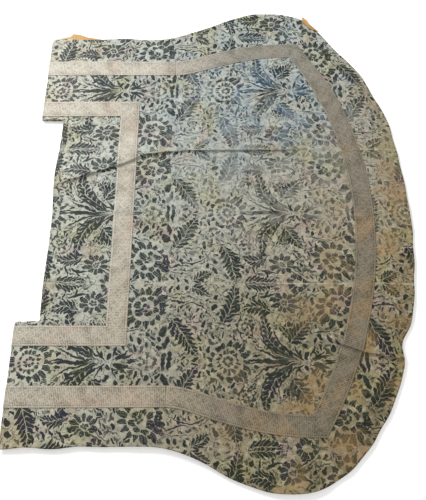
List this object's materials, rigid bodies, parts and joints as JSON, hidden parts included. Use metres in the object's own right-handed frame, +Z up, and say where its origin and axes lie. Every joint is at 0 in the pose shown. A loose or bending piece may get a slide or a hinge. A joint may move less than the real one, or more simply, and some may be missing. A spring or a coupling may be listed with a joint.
{
  "type": "chasuble",
  "caption": "Wide lined silk damask chasuble laid flat, back up, with a U of woven metal galloon below the neck and a galloon border round its sides and curved hem.",
  "frame": {"origin": "bottom centre of the bounding box, on the surface the garment lies on, halfway between the shoulder fold and the hem", "axes": "+X from the shoulder fold to the hem along the garment's middle, +Y across the garment to its far side, +Z up out of the back's face"},
  "size_m": [1.246, 1.77, 0.0117],
  "materials": {
    "silk_damask": "faded woven silk damask, teal and olive leaves on a beige-green ground",
    "metal_galloon": "woven silver-thread galloon, tarnished to a pinkish beige, dull metallic sheen",
    "lining_silk": "plain glazed yellow-apricot lining",
    "interlining_linen": "coarse unbleached linen"
  },
  "bodies": {
    "front": {"front_galloon_far_flare": "metal_galloon", "front_galloon_far_neck": "metal_galloon", "front_galloon_far_side": "metal_galloon", "front_galloon_hem_1": "metal_galloon", "front_galloon_hem_2": "metal_galloon", "front_galloon_hem_3": "metal_galloon", "front_galloon_near_flare": "metal_galloon", "front_galloon_near_neck": "metal_galloon", "front_galloon_near_side": "metal_galloon", "front_galloon_neck_cross": "metal_galloon", "front_interlining": "interlining_linen", "front_lining_far_width": "lining_silk", "front_lining_middle_width": "lining_silk", "front_lining_near_width": "lining_silk", "front_silk_far_gore": "silk_damask", "front_silk_far_width": "silk_damask", "front_silk_middle_width": "silk_damask", "front_silk_near_gore": "silk_damask", "front_silk_near_width": "silk_damask", "front_turned_hem": "silk_damask", "front_turned_neck_edge": "silk_damask", "galloon_turn_far_neck": "metal_galloon", "galloon_turn_far_side": "metal_galloon", "galloon_turn_near_neck": "metal_galloon", "galloon_turn_near_side": "metal_galloon", "shoulder_fold_far": "silk_damask", "shoulder_fold_near": "silk_damask"},
    "back": {"back_galloon_far_flare": "metal_galloon", "back_galloon_far_neck": "metal_galloon", "back_galloon_far_side": "metal_galloon", "back_galloon_hem_1": "metal_galloon", "back_galloon_hem_2": "metal_galloon", "back_galloon_hem_3": "metal_galloon", "back_galloon_near_flare": "metal_galloon", "back_galloon_near_neck": "metal_galloon", "back_galloon_near_side": "metal_galloon", "back_galloon_neck_cross": "metal_galloon", "back_interlining": "interlining_linen", "back_lining_far_width": "lining_silk", "back_lining_middle_width": "lining_silk", "back_lining_near_width": "lining_silk", "back_silk_far_gore": "silk_damask", "back_silk_far_width": "silk_damask", "back_silk_middle_width": "silk_damask", "back_silk_near_gore": "silk_damask", "back_silk_near_width": "silk_damask", "back_turned_hem": "silk_damask", "back_turned_neck_edge": "silk_damask"}
  },
  "joints": [
    {"name": "shoulder_fold", "type": "hinge", "parent": "front", "child": "back", "pos_m": [-0.617, 0, 0.00585], "axis": [0, -1, 0], "range_deg": [0, 179.5], "deforming": ["galloon_turn_far_neck", "galloon_turn_far_side", "galloon_turn_near_neck", "galloon_turn_near_side", "shoulder_fold_far", "shoulder_fold_near"]}
  ]
}
